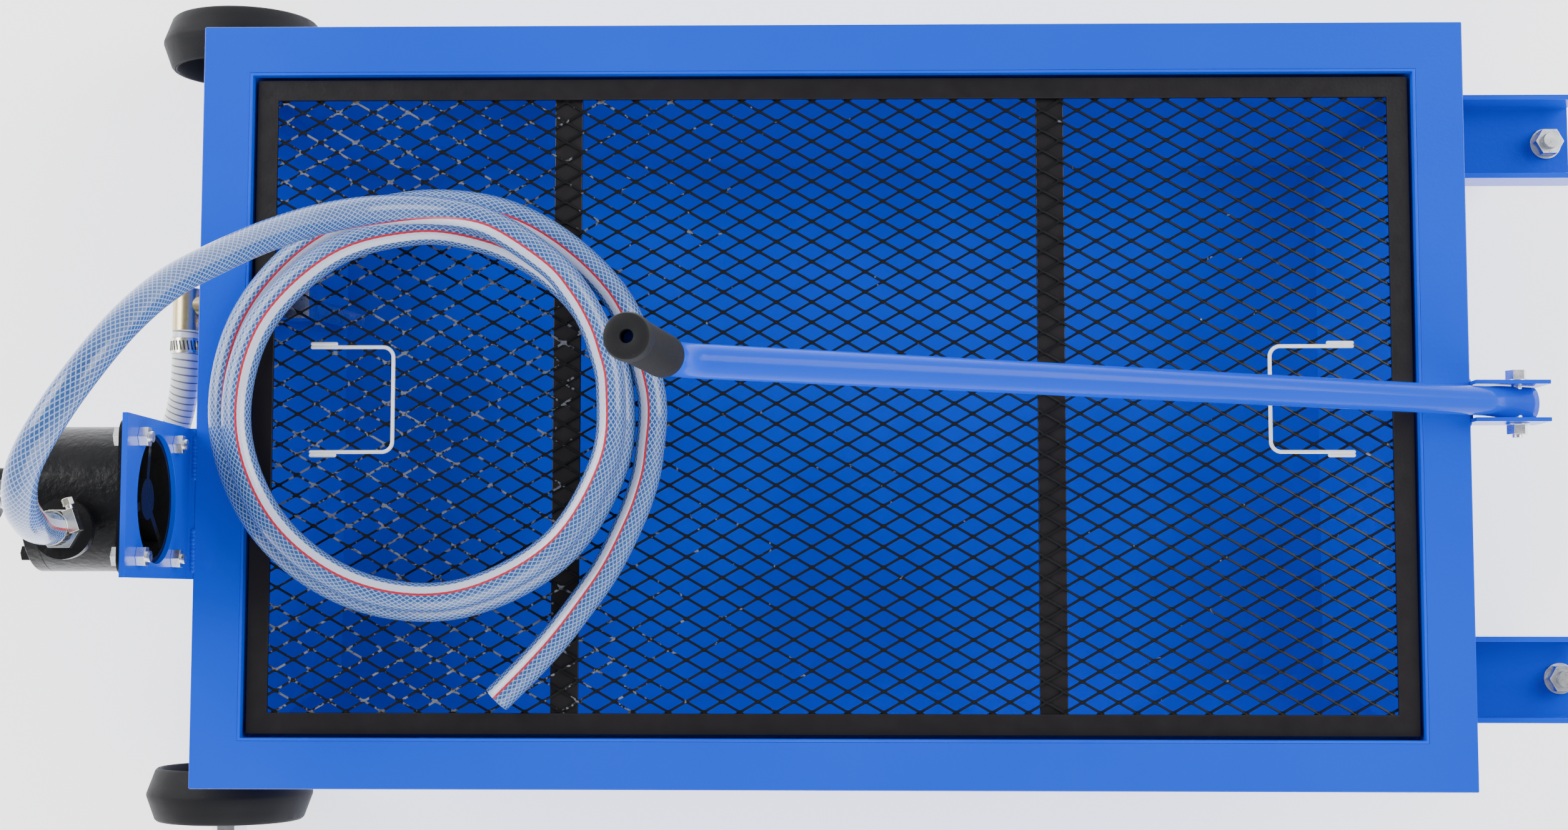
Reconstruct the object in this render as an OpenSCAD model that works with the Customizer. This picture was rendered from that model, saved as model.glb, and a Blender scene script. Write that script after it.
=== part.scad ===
// Low wheeled drain tray with a rotary hand pump, a coiled delivery hose and a hinged pull handle.
// Every module is drawn from the middle of the rim's top face, and at_floor() sets it on the floor.

/* [Tray] */
// Length of the rim along X
rim_l = 960; // [800:10:1300]
// Width of the rim across Y
rim_w = 580; // [520:10:760]
// Height of the rim's top face above the floor
rim_h = 185; // [170:1:230]
// Width of the rim's flat top, from its outer edge to the pan
rim_band = 36; // [30:1:45]
// Depth of the rim's outer skirt
skirt_h = 30; // [20:1:34]
// Thickness of the folded rim sheet
rim_t = 2.5; // [2:0.5:3]
// Thickness of the pan sheet
pan_t = 2; // [1.5:0.5:3]
// Depth of the pan's upright walls
wall_h = 62; // [56:1:70]
// Depth of the pan at its flat floor
pan_h = 148; // [120:1:155]
// How far the pan's floor is drawn in from its walls
pan_draw = 44; // [20:1:60]

/* [Grille] */
// Width of the grille frame's flat bars
bar_w = 16; // [12:1:20]
// Thickness of the grille's bars
bar_t = 3; // [2:0.5:4]
// How far the grille frame's top lies below the rim
grille_drop = 6; // [4:1:12]
// Gap between the grille frame and the pan
grille_gap = 2.5; // [1:0.5:5]
// Length of one diamond of the expanded mesh
diamond_l = 54; // [40:1:80]
// Height of one diamond of the expanded mesh
diamond_w = 31; // [24:1:50]
// Width of a mesh strand
strand_w = 2.4; // [1.5:0.1:4]
// Thickness of the mesh
mesh_t = 1.6; // [1:0.1:2.5]
// Width of a crossbar under the mesh
crossbar_w = 21; // [16:1:30]
// Places of the two crossbars along X
crossbar_x = [-200, 168];
// Wire diameter of the lifting bails
bail_wire = 3; // [2:0.5:4]
// Distance between a bail's legs
bail_w = 80; // [60:1:100]
// Length of a bail from its eyes to its bar
bail_l = 62; // [40:1:80]
// Distance of the bails' bars from the middle of the tray
bail_x = 332; // [250:1:345]

/* [Wheels] */
// Wheel diameter at its middle ridge
wheel_d = 130; // [110:1:132]
// Wheel width
wheel_w = 42; // [30:1:50]
// Axle diameter
axle_d = 16; // [12:1:20]
// Distance of the wheels' middle planes from the tray's middle
wheel_y = 303; // [300:1:400]
// Diameter of the swivel casters' wheels
caster_d = 75; // [60:1:75]
// Width of a caster wheel
caster_w = 26; // [20:1:32]
// Trail of a caster wheel behind its stem
caster_trail = 30; // [20:1:36]
// Distance of the caster stems from the rim's end
stem_out = 80; // [70:1:110]
// Distance of the caster stems from the tray's middle plane
stem_y = 208; // [150:1:220]
// Diameter of the caster stem
stem_d = 12; // [10:1:14]
// Width of a caster arm
arm_w = 65; // [56:1:80]
// Thickness of a caster arm's plate
arm_t = 4; // [3:1:6]
// Depth of a caster arm's web below the rim
arm_drop = 66; // [60:1:70]
// How each caster is swivelled, back and front
swivel_back = -30; // [-60:5:60]
swivel_front = 0; // [-60:5:60]

/* [Pump] */
// Height of the pump shaft above the rim
pump_z = 80; // [76:1:100]
// Place of the pump shaft across the tray
pump_y = -76.5; // [-120:0.5:-70]
// Outer diameter of the pump barrel
barrel_d = 104; // [96:1:116]
// Bore of the rotor chamber
chamber_d = 80; // [70:1:82]
// Length of the pump barrel outside its flange
barrel_l = 60; // [50:1:80]
// Thickness of the pump's square flange
flange_t = 8; // [6:1:12]
// Distance between the flange's bolts, both ways
flange_pitch = 84; // [80:1:90]
// Diameter of the round hole in the bracket
bracket_hole_d = 93; // [80:1:96]
// Thickness of the bracket plate
bracket_t = 4; // [3:1:6]
// Width and height of the bracket plate above the rim
bracket_w = 114; // [110:1:130]
bracket_h = 152; // [140:1:170]
// Thickness of the pump cover
cover_t = 10; // [8:1:14]
// Shaft diameter
shaft_d = 14; // [12:1:16]
// Length of the crank from shaft to grip
crank_l = 190; // [150:5:200]
// Angle of the hanging crank from straight down
crank_lean = 7; // [0:1:12]
// Length and diameter of the crank grip
crank_grip_l = 113; // [90:1:130]
crank_grip_d = 20; // [18:1:30]

/* [Hoses] */
// Outer diameter of both hoses
hose_d = 22; // [20:1:24]
// Bore of both hoses
hose_bore = 16; // [14:1:18]

/* [Handle] */
// Outer diameter of the handle tube
tube_d = 22; // [20:1:25]
// Wall of the handle tube
tube_t = 1.5; // [1:0.5:2]
// Length of the straight tube from its pivot to the bend
tube_l = 668; // [500:10:800]
// Radius of the bend at the grip
bend_r = 40; // [30:1:60]
// Angle of the bend
bend_a = 56; // [40:1:70]
// Angle of the resting handle above level
handle_rest = 27; // [24:1:45]
// Distance of the pivot from the rim's end
pivot_out = 36; // [34:1:50]
// Gap between the clevis ears
ear_gap = 25; // [24.5:0.5:27]
// Length and diameter of the rubber grip
grip_l = 108; // [90:1:130]
grip_d = 27; // [25.5:0.5:32]

/* [Hidden] */
$fn = 64;

blue = [0.0, 0.38, 0.9];
black = [0.09, 0.09, 0.1];
zinc = [0.75, 0.77, 0.8];
yellow_zinc = [0.75, 0.68, 0.35];
clear_hose = [0.65, 0.78, 0.92];

run_fit = 0.05;      // radial clearance of a turning fit
rest_gap = 0.3;      // clearance of parts that rest on or pass one another
cut = 1;             // overrun of a cut past a face

pan_x = rim_l / 2 - rim_band;            // half length outside the pan walls
pan_y = rim_w / 2 - rim_band;            // half width outside the pan walls
bay_x = pan_x - pan_t;                   // half length inside the pan
bay_y = pan_y - pan_t;
frame_x = bay_x - grille_gap;            // half length of the grille frame
frame_y = bay_y - grille_gap;
mesh_top = -grille_drop - bar_t;
leg_h = 16;                              // depth of the grille frame's upright legs
ledge_w = 15;
wheel_r = wheel_d / 2;
edge_r = wheel_r - 6.5;                  // wheel radius at its two edges
axle_x = -rim_l / 2;
axle_z = wheel_r - rim_h;
hub_gap = 0.4;                           // side play of a wheel
washer_t = 2;
axle_nut_t = 8;
axle_half = wheel_y + wheel_w / 2 + hub_gap + washer_t + axle_nut_t;
stem_x = rim_l / 2 + stem_out;
arm_end = stem_x + 18;
web_top = arm_t - arm_drop;
fork_z = caster_d / 2 - rim_h;           // height of a caster wheel's axle
race_t = 6;
crown_t = 8;
crown_top = -arm_drop - race_t - rest_gap;
fork_t = 3;
fork_in = caster_w / 2 + 1;              // half the space inside a fork
caster_axle_d = 8;
plate_x = -rim_l / 2 - 4;                // inner face of the bracket plate
flange_x = plate_x - bracket_t;          // joint of plate and pump
barrel_x = flange_x - flange_t - barrel_l;
cover_x = barrel_x - cover_t;
gland_l = 14;
gland_x = cover_x - gland_l;
packing_t = 12;
crank_x = gland_x - packing_t - 8;       // inner face of the crank's hub
hub_l = 14;
arm_bar_t = 8;
grip_x = crank_x - hub_l / 2 - arm_bar_t / 2 - 2;
pin_head_t = 5;
crank_end = grip_x - crank_grip_l - rest_gap - pin_head_t;
chamber_l = 42;
chamber_back = barrel_x + chamber_l;
port_x = flange_x - flange_t - barrel_l / 2 - 4;
port_dy = 23.5;                          // sideways offset of the two ports
port_top = pump_z + barrel_d / 2 + 14;
port_low = pump_z - barrel_d / 2 - 14;
collar_t = 6;
clamp_w = 12;
clamp_t = 1;
clamp_in = 6;                            // from a port's collar to its clamp
pivot_x = rim_l / 2 + pivot_out;
// The pivot lies so low that the resting tube lies rest_gap above the rim's edge.
pivot_z = -(pivot_out * sin(handle_rest) - tube_d / 2 - rest_gap) / cos(handle_rest);
ear_t = 3;
bolt_d = 8;
paddle_w = ear_gap - 2 * rest_gap;
paddle_t = 14;
elbow_y = 80;
elbow_x = -rim_l / 2 - 22;
elbow_z = -46;
// The whole object is centred along X between the crank's end and the caster arms' ends.
tray_x = -(crank_end + arm_end) / 2;

// Routes of the hoses, from the middle of the rim's top face. They stay as chosen.
feed_route = [
  [-530, -100, 152], [-530, -100, 192], [-526, -94, 238], [-513, -82, 278], [-492, -64, 305],
  [-468, -36, 316], [-449, -4, 306], [-437, 27, 279], [-425, 55, 243], [-409, 80, 202],
  [-388, 102, 159], [-362, 120, 119], [-330, 132, 86], [-292, 136, 61], [-252, 129, 46]];
tail_route = [
  [-157, -106, 2], [-168, -126, 2], [-186, -152, 2], [-206, -178, 2], [-227, -201, 2],
  [-249, -223, 2]];
suction_route = [
  [-502, 60, -46], [-502, 38, -46], [-504, 18, -50], [-509, -2, -57], [-516, -22, -61],
  [-523, -38, -55], [-528, -49, -38], [-530, -53, -16], [-530, -53, 8]];

module at_floor() {
  translate([tray_x, 0, rim_h]) children();
}

module ring_plate(x, y, w, z, t) {
  // A flat rectangular ring, w wide inside the half sizes x and y, from z upwards
  translate([0, 0, z]) linear_extrude(t) difference() {
    square([2 * x, 2 * y], center = true);
    square([2 * (x - w), 2 * (y - w)], center = true);
  }
}

module along_x(x, y, z, l, d) {
  // A cylinder from x towards -X
  translate([x, y, z]) rotate([0, -90, 0]) cylinder(h = l, d = d);
}

module along_y(x, y, z, l, d) {
  // A cylinder from y towards -Y
  translate([x, y, z]) rotate([90, 0, 0]) cylinder(h = l, d = d);
}

module hex(af, t) {
  cylinder(h = t, d = af / cos(30), $fn = 6);
}

// Hose tubes: rings of points carried along a route without twist.
function unit(v) = v / norm(v);
function heading(p, i) = unit(p[min(i + 1, len(p) - 1)] - p[max(i - 1, 0)]);
function carried(p, i) = i == 0
  ? let(t = heading(p, 0)) unit(cross(t, abs(t[2]) < 0.9 ? [0, 0, 1] : [1, 0, 0]))
  : let(t = heading(p, i), u = carried(p, i - 1)) unit(u - (u * t) * t);
function tube_ring(p, i, d, n) = let(t = heading(p, i), u = carried(p, i), v = cross(t, u))
  [for (k = [0:n - 1]) p[i] + d / 2 * (u * cos(360 * k / n) + v * sin(360 * k / n))];
module hose_tube(p, d, n = 12) {
  m = len(p);
  points = [for (i = [0:m - 1]) each tube_ring(p, i, d, n)];
  sides = [for (i = [0:m - 2], k = [0:n - 1]) each
    [[i * n + k, (i + 1) * n + k, (i + 1) * n + (k + 1) % n],
     [i * n + k, (i + 1) * n + (k + 1) % n, i * n + (k + 1) % n]]];
  start = [[for (k = [0:n - 1]) k]];
  end = [[for (k = [n - 1:-1:0]) (m - 1) * n + k]];
  polyhedron(points, concat(sides, start, end));
}

// ---- Tray ----
module rim_frame() {
  color(blue) {
    ring_plate(rim_l / 2, rim_w / 2, rim_band, -rim_t, rim_t);
    ring_plate(rim_l / 2, rim_w / 2, rim_t, -skirt_h, skirt_h - rim_t);
  }
}

module tank_walls() {
  color(blue) difference() {
    ring_plate(pan_x, pan_y, pan_t, -wall_h, wall_h);
    along_x(-bay_x + cut, elbow_y, elbow_z, pan_t + 2 * cut, 18 + 2 * run_fit);
  }
}

module sump_block(inset, top, low) {
  // A hollow's or a shell's outer shape, drawn in towards the floor
  hull() {
    translate([0, 0, top]) linear_extrude(0.01)
      square([2 * (pan_x - inset), 2 * (pan_y - inset)], center = true);
    translate([0, 0, low]) linear_extrude(0.01)
      square([2 * (pan_x - pan_draw - inset), 2 * (pan_y - pan_draw - inset)], center = true);
  }
}

module tank_sump() {
  color(blue) difference() {
    sump_block(0, -wall_h - 0.01, -pan_h);
    sump_block(pan_t, -wall_h + 0.01, -pan_h + pan_t);
  }
}

module grille_ledge() {
  color(blue) ring_plate(bay_x, bay_y, ledge_w, -grille_drop - leg_h - bar_t, bar_t);
}

// ---- Grille ----
module grille_frame() {
  color(black) {
    ring_plate(frame_x, frame_y, bar_w, -grille_drop - bar_t, bar_t);
    ring_plate(frame_x, frame_y, bar_t, -grille_drop - leg_h, leg_h - bar_t);
  }
}

module grille_crossbars() {
  color(black) for (x = crossbar_x)
    translate([x - crossbar_w / 2, -frame_y + bar_t, mesh_top - mesh_t - bar_t])
      cube([crossbar_w, 2 * (frame_y - bar_t), bar_t]);
}

module strand(x, dir, run) {
  // One slanting strand through x on the middle line
  hull() for (s = [-1, 1])
    translate([x + s * run * diamond_l / 2, s * dir * run * diamond_w / 2, 0])
      linear_extrude(mesh_t) square([strand_w * 1.15, strand_w], center = true);
}

module expanded_mesh() {
  mesh_x = frame_x - bar_t;
  mesh_y = frame_y - bar_t;
  run = ceil(2 * mesh_y / diamond_w);
  count = ceil((2 * mesh_x / diamond_l + run) / 2);
  color(black) translate([0, 0, mesh_top - mesh_t]) intersection() {
    linear_extrude(mesh_t) square([2 * mesh_x, 2 * mesh_y], center = true);
    union() {
      for (i = [-count:count], dir = [-1, 1]) strand(i * diamond_l, dir, run);
      // Selvedges that are welded to the frame
      for (s = [-1, 1]) {
        translate([s * (mesh_x - 2) - 2, -mesh_y, 0]) cube([4, 2 * mesh_y, mesh_t]);
        translate([-mesh_x, s * (mesh_y - 2) - 2, 0]) cube([2 * mesh_x, 4, mesh_t]);
      }
    }
  }
}

module bail() {
  // A wire U that lies flat, its eyes' far ends on the hinge line x = 0 and its bar towards +X
  r = bail_wire / 2;
  corner = 8;
  eye = 18;
  flat = bail_w / 2 + 0.85 * bail_wire;
  for (s = [-1, 1]) {
    translate([0, s * flat, 0]) rotate([0, 90, 0]) cylinder(h = eye, d = bail_wire);
    translate([0, s * bail_w / 2, 0]) rotate([0, 90, 0])
      cylinder(h = bail_l - corner, d = bail_wire);
    for (x = [0, eye]) translate([x, s * flat, 0]) sphere(d = bail_wire);
    translate([0, s * bail_w / 2, 0]) sphere(d = bail_wire);
    translate([bail_l - corner, s * (bail_w / 2 - corner), 0])
      rotate([0, 0, s > 0 ? 0 : -90]) rotate_extrude(angle = 90)
        translate([corner, 0]) circle(r = r);
  }
  translate([bail_l, -bail_w / 2 + corner, 0]) rotate([-90, 0, 0])
    cylinder(h = bail_w - 2 * corner, d = bail_wire);
}

module bail_left() {
  color(zinc) translate([-bail_x - bail_l, 3, mesh_top + rest_gap + bail_wire / 2]) bail();
}

module bail_right() {
  color(zinc) translate([bail_x + bail_l, 3, mesh_top + rest_gap + bail_wire / 2])
    rotate([0, 0, 180]) bail();
}

// ---- Fixed wheels ----
module axle_lugs() {
  // Two flat lugs on the pan's end wall, bored for the axle
  lug_t = 6;
  color(blue) for (s = [-1, 1]) translate([0, s * 180 - lug_t / 2, 0]) difference() {
    rotate([90, 0, 0]) translate([0, 0, -lug_t]) linear_extrude(lug_t) union() {
      polygon([[-pan_x, -wall_h + 20], [-pan_x, -wall_h], [axle_x + 6, axle_z - 12],
               [axle_x, axle_z - 14], [axle_x - 14, axle_z], [axle_x, axle_z + 20]]);
      translate([axle_x, axle_z]) circle(r = 14);
    }
    translate([axle_x, -cut, axle_z]) rotate([-90, 0, 0])
      cylinder(h = lug_t + 2 * cut, d = axle_d + 2 * run_fit);
  }
}

module wheel_axle() {
  color(zinc) along_y(axle_x, axle_half, axle_z, 2 * axle_half, axle_d);
}

module wheel() {
  // Turned about Z: two bevelled tread faces that meet in a ridge, a dished inside and a hub
  rotate_extrude() polygon([
    [axle_d / 2 + run_fit, -wheel_w / 2], [axle_d / 2 + 10, -wheel_w / 2],
    [axle_d / 2 + 10, -2], [edge_r - 8, -2], [edge_r - 5, -wheel_w / 2 + 2],
    [edge_r - 4, -wheel_w / 2], [edge_r - 2, -wheel_w / 2], [edge_r, -wheel_w / 2 + 2],
    [wheel_r, -1], [wheel_r, 1], [edge_r, wheel_w / 2 - 2], [edge_r - 2, wheel_w / 2],
    [edge_r - 12, wheel_w / 2], [edge_r - 16, wheel_w / 2 - 8], [axle_d / 2 + 14, wheel_w / 2 - 8],
    [axle_d / 2 + 10, wheel_w / 2], [axle_d / 2 + run_fit, wheel_w / 2]]);
}

module wheel_back() {
  color(black) translate([axle_x, wheel_y, axle_z]) rotate([-90, 0, 0]) wheel();
}

module wheel_front() {
  color(black) translate([axle_x, -wheel_y, axle_z]) rotate([90, 0, 0]) wheel();
}

module wheel_washers() {
  color(zinc) for (s = [-1, 1], side = [-1, 1])
    translate([axle_x, s * wheel_y + side * (wheel_w / 2 + hub_gap + washer_t / 2), axle_z])
      rotate([90, 0, 0]) difference() {
        cylinder(h = washer_t, r = axle_d / 2 + 7, center = true);
        cylinder(h = washer_t + 2 * cut, r = axle_d / 2 + run_fit, center = true);
      }
}

module axle_nuts() {
  color(zinc) for (s = [-1, 1])
    translate([axle_x, s * (axle_half - axle_nut_t), axle_z]) rotate([-s * 90, 0, 0]) difference() {
      hex(24, axle_nut_t);
      translate([0, 0, -cut]) cylinder(h = axle_nut_t + 2 * cut, r = axle_d / 2 + run_fit);
    }
}

// ---- Swivel casters ----
module caster_arm(s) {
  color(blue) difference() {
    union() {
      translate([pan_x, s * stem_y - arm_w / 2, -arm_drop]) cube([arm_end - pan_x, arm_w, arm_t]);
      for (side = [-1, 1])
        translate([pan_x, s * stem_y + side * (arm_w / 2 - arm_t / 2) - arm_t / 2, web_top])
          cube([arm_end - pan_x, arm_t, -skirt_h - web_top]);
    }
    translate([stem_x, s * stem_y, -arm_drop - cut])
      cylinder(h = arm_t + 2 * cut, d = stem_d + 2 * run_fit);
  }
}
module caster_arm_back() { caster_arm(1); }
module caster_arm_front() { caster_arm(-1); }

module caster_stems() {
  color(zinc) for (s = [-1, 1]) translate([stem_x, s * stem_y, 0]) {
    translate([0, 0, crown_top - crown_t - rest_gap - 4]) cylinder(h = 4, r = 9.5);
    translate([0, 0, crown_top - crown_t - rest_gap])
      cylinder(h = web_top + 18 - (crown_top - crown_t - rest_gap), d = stem_d);
    translate([0, 0, -arm_drop - race_t]) cylinder(h = race_t, r = 16);
  }
}

module caster_nuts() {
  color(zinc) for (s = [-1, 1]) translate([stem_x, s * stem_y, web_top]) difference() {
    union() {
      cylinder(h = 2, r = 12);
      translate([0, 0, 2]) hex(19, 11);
    }
    translate([0, 0, -cut]) cylinder(h = 16, d = stem_d + 2 * run_fit);
  }
}

module caster_place(s, swivel) {
  translate([stem_x, s * stem_y, 0]) rotate([0, 0, swivel]) children();
}

module caster_fork() {
  leg_w = 16;
  difference() {
    union() {
      translate([0, 0, crown_top - crown_t]) cylinder(h = crown_t, r = 17);
      for (s = [-1, 1]) translate([0, s * (fork_in + fork_t / 2) + fork_t / 2, 0])
        rotate([90, 0, 0]) linear_extrude(fork_t) union() {
          polygon([[-14, crown_top - 1], [10, crown_top - 1], [10, crown_top - crown_t],
                   [-caster_trail + leg_w / 2, fork_z], [-caster_trail, fork_z - leg_w / 2],
                   [-caster_trail - leg_w / 2, fork_z], [-20, crown_top - crown_t - 6]]);
          translate([-caster_trail, fork_z]) circle(d = leg_w);
        }
    }
    translate([0, 0, crown_top - crown_t - cut])
      cylinder(h = crown_t + 2 * cut, d = stem_d + 2 * run_fit);
    along_y(-caster_trail, fork_in + fork_t + cut, fork_z, 2 * (fork_in + fork_t + cut),
            caster_axle_d + 2 * run_fit);
  }
}
module caster_fork_back() { color(zinc) caster_place(1, swivel_back) caster_fork(); }
module caster_fork_front() { color(zinc) caster_place(-1, swivel_front) caster_fork(); }

module caster_wheel() {
  translate([-caster_trail, 0, fork_z]) rotate([90, 0, 0]) rotate_extrude() polygon([
    [caster_axle_d / 2 + run_fit, -fork_in + rest_gap], [10, -fork_in + rest_gap],
    [10, -caster_w / 2 + 4], [caster_d / 2 - 12, -caster_w / 2 + 4],
    [caster_d / 2 - 10, -caster_w / 2], [caster_d / 2 - 3, -caster_w / 2],
    [caster_d / 2, -caster_w / 2 + 4], [caster_d / 2, caster_w / 2 - 4],
    [caster_d / 2 - 3, caster_w / 2], [caster_d / 2 - 10, caster_w / 2],
    [caster_d / 2 - 12, caster_w / 2 - 4], [10, caster_w / 2 - 4],
    [10, fork_in - rest_gap], [caster_axle_d / 2 + run_fit, fork_in - rest_gap]]);
}
module caster_wheel_back() { color(black) caster_place(1, swivel_back) caster_wheel(); }
module caster_wheel_front() { color(black) caster_place(-1, swivel_front) caster_wheel(); }

module caster_axle() {
  half = fork_in + fork_t;
  along_y(-caster_trail, half, fork_z, 2 * half, caster_axle_d);
  for (s = [-1, 1]) translate([-caster_trail, s * half, fork_z]) rotate([-s * 90, 0, 0]) hex(13, 5);
}
module caster_axle_back() { color(zinc) caster_place(1, swivel_back) caster_axle(); }
module caster_axle_front() { color(zinc) caster_place(-1, swivel_front) caster_axle(); }

// ---- Pump ----
module flange_bolts_at() {
  for (sy = [-1, 1], sz = [-1, 1])
    translate([0, pump_y + sy * flange_pitch / 2, pump_z + sz * flange_pitch / 2]) children();
}

module pump_bracket() {
  foot_h = 26;
  foot_t = -rim_l / 2 - plate_x;
  color(blue) difference() {
    union() {
      translate([flange_x, pump_y - bracket_w / 2, -foot_h])
        cube([bracket_t, bracket_w, foot_h + bracket_h]);
      translate([plate_x, pump_y - bracket_w / 2, -foot_h]) cube([foot_t, bracket_w, foot_h]);
    }
    along_x(plate_x + cut, pump_y, pump_z, bracket_t + 2 * cut, bracket_hole_d);
    flange_bolts_at() along_x(plate_x + cut, 0, 0, bracket_t + 2 * cut, 8.5);
  }
}

module pump_body() {
  half = flange_pitch / 2 + 12;
  back_d = bracket_hole_d - 7;
  bearing_l = 18;
  color(black) difference() {
    union() {
      translate([flange_x, pump_y, pump_z]) rotate([0, -90, 0]) linear_extrude(flange_t) union() {
        square([2 * half - 20, 2 * half], center = true);
        square([2 * half, 2 * half - 20], center = true);
        for (sy = [-1, 1], sz = [-1, 1]) translate([sz * (half - 10), sy * (half - 10)]) circle(r = 10);
      }
      along_x(flange_x - flange_t + 1, pump_y, pump_z, barrel_l + 1, barrel_d);
      translate([port_x, pump_y - port_dy, pump_z]) cylinder(h = port_top - pump_z, r = 16);
      translate([port_x, pump_y - port_dy, port_top - 7]) cylinder(h = 7, r = 21);
      translate([port_x, pump_y + port_dy, port_low]) cylinder(h = pump_z - port_low, r = 16);
      translate([port_x, pump_y + port_dy, port_low]) cylinder(h = 7, r = 21);
    }
    // Rotor chamber from the front, open recess at the back, shaft bearing between them
    along_x(chamber_back, pump_y, pump_z, chamber_l + cut, chamber_d);
    difference() {
      along_x(flange_x + cut, pump_y, pump_z, flange_x + cut - chamber_back - 6, back_d);
      along_x(flange_x - 3, pump_y, pump_z, 40, 30);
      for (a = [20, 140, 260]) translate([flange_x - 4, pump_y, pump_z]) rotate([a, 0, 0])
        translate([-40, -3, 0]) cube([40, 6, 60]);
    }
    along_x(chamber_back + bearing_l, pump_y, pump_z, bearing_l + cut, shaft_d + 2 * run_fit);
    translate([port_x, pump_y - port_dy, pump_z]) cylinder(h = 100, d = hose_bore + 2 * run_fit);
    translate([port_x, pump_y + port_dy, pump_z - 100]) cylinder(h = 100, d = hose_bore + 2 * run_fit);
    flange_bolts_at() along_x(flange_x + cut, 0, 0, flange_t + 2 * cut, 8.5);
    cover_bolts_at() along_x(barrel_x + 14, 0, 0, 14 + cut, 6 + 2 * run_fit);
  }
}

module cover_bolts_at() {
  for (a = [30:60:330])
    translate([0, pump_y + (barrel_d / 2 - 6.5) * cos(a), pump_z + (barrel_d / 2 - 6.5) * sin(a)])
      children();
}

module pump_cover() {
  color(black) difference() {
    union() {
      along_x(barrel_x, pump_y, pump_z, cover_t, barrel_d);
      along_x(cover_x + 1, pump_y, pump_z, gland_l + 1, 34);
      for (a = [30:60:330]) translate([cover_x, pump_y, pump_z]) rotate([a, 0, 0])
        translate([-4, -3, 12]) cube([5, 6, 26]);
    }
    along_x(barrel_x + cut, pump_y, pump_z, cover_t + gland_l + 2 * cut, shaft_d + 2 * run_fit);
    cover_bolts_at() along_x(barrel_x + cut, 0, 0, cover_t + 2 * cut, 6.6);
  }
}

module cover_bolts() {
  color(black) cover_bolts_at() {
    along_x(barrel_x + 12, 0, 0, 12 + cover_t, 6);
    translate([cover_x, 0, 0]) rotate([0, -90, 0]) hex(10, 6);
  }
}

module mount_bolts() {
  color(zinc) flange_bolts_at() {
    along_x(plate_x + 9, 0, 0, 9 + bracket_t + flange_t, 8);
    translate([flange_x - flange_t, 0, 0]) rotate([0, -90, 0]) hex(13, 5.5);
  }
}

module mount_nuts() {
  color(zinc) flange_bolts_at() translate([plate_x, 0, 0]) rotate([0, 90, 0]) difference() {
    hex(13, 6.5);
    translate([0, 0, -cut]) cylinder(h = 6.5 + 2 * cut, r = 4 + run_fit);
  }
}

rotor_d = chamber_d - 3;
rotor_l = chamber_l - 1;
vane_t = 4;
vane_w = 17;
module pump_shaft() {
  color(zinc) along_x(chamber_back + 14, pump_y, pump_z, chamber_back + 14 - crank_x + hub_l + 9,
                      shaft_d);
}

module pump_rotor() {
  color(zinc) difference() {
    along_x(chamber_back - 0.5, pump_y, pump_z, rotor_l, rotor_d);
    along_x(chamber_back + cut, pump_y, pump_z, rotor_l + 3, shaft_d + 2 * run_fit);
    for (a = [0:90:270]) translate([chamber_back - rotor_l - 1.5, pump_y, pump_z]) rotate([a, 0, 0])
      translate([0, -vane_t / 2 - run_fit, rotor_d / 2 - vane_w - 2])
        cube([rotor_l + 3, vane_t + 2 * run_fit, 30]);
  }
}

module pump_vanes() {
  color(black) for (a = [0:90:270]) translate([chamber_back - rotor_l - 0.5, pump_y, pump_z])
    rotate([a, 0, 0]) translate([0, -vane_t / 2, rotor_d / 2 - vane_w]) cube([rotor_l, vane_t, vane_w]);
}

module packing_nut() {
  color(black) translate([gland_x, pump_y, pump_z]) rotate([0, -90, 0]) difference() {
    union() {
      hex(30, packing_t - 3);
      cylinder(h = packing_t, d = 24);
    }
    translate([0, 0, -cut]) cylinder(h = packing_t + 2 * cut, d = shaft_d + 2 * run_fit);
  }
}

module crank_place() {
  // Local -Z runs from the shaft to the grip
  translate([0, pump_y, pump_z]) rotate([crank_lean, 0, 0]) children();
}

module crank_arm() {
  bar_x = crank_x - (hub_l - arm_bar_t) / 2;
  color(black) crank_place() difference() {
    union() {
      along_x(crank_x, 0, 0, hub_l, 30);
      translate([bar_x - arm_bar_t, -11, -crank_l]) cube([arm_bar_t, 22, crank_l]);
      along_x(bar_x, 0, -crank_l, arm_bar_t, 24);
    }
    along_x(crank_x + cut, 0, 0, hub_l + 2 * cut, shaft_d + 2 * run_fit);
    along_x(bar_x + cut, 0, -crank_l, arm_bar_t + 2 * cut, 8 + 2 * run_fit);
  }
}

module shaft_nut() {
  color(zinc) crank_place() translate([crank_x - hub_l, 0, 0]) rotate([0, -90, 0]) difference() {
    hex(22, 8);
    translate([0, 0, -cut]) cylinder(h = 10, d = shaft_d + 2 * run_fit);
  }
}

module crank_pin() {
  back_x = crank_x - (hub_l - arm_bar_t) / 2;
  color(zinc) crank_place() {
    along_x(back_x + 6, 0, -crank_l, back_x + 6 - crank_end - pin_head_t, 8);
    translate([back_x + 5, 0, -crank_l]) rotate([0, -90, 0]) hex(13, 5);
    along_x(crank_end + pin_head_t, 0, -crank_l, pin_head_t, 14);
  }
}

module crank_grip() {
  color(black) crank_place() translate([grip_x, 0, -crank_l]) rotate([0, -90, 0])
    rotate_extrude() polygon([
      [4 + run_fit, 0], [crank_grip_d / 2 - 1, 0], [crank_grip_d / 2, 1],
      [crank_grip_d / 2, crank_grip_l - 2], [crank_grip_d / 2 - 2, crank_grip_l],
      [4 + run_fit, crank_grip_l]]);
}

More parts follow.
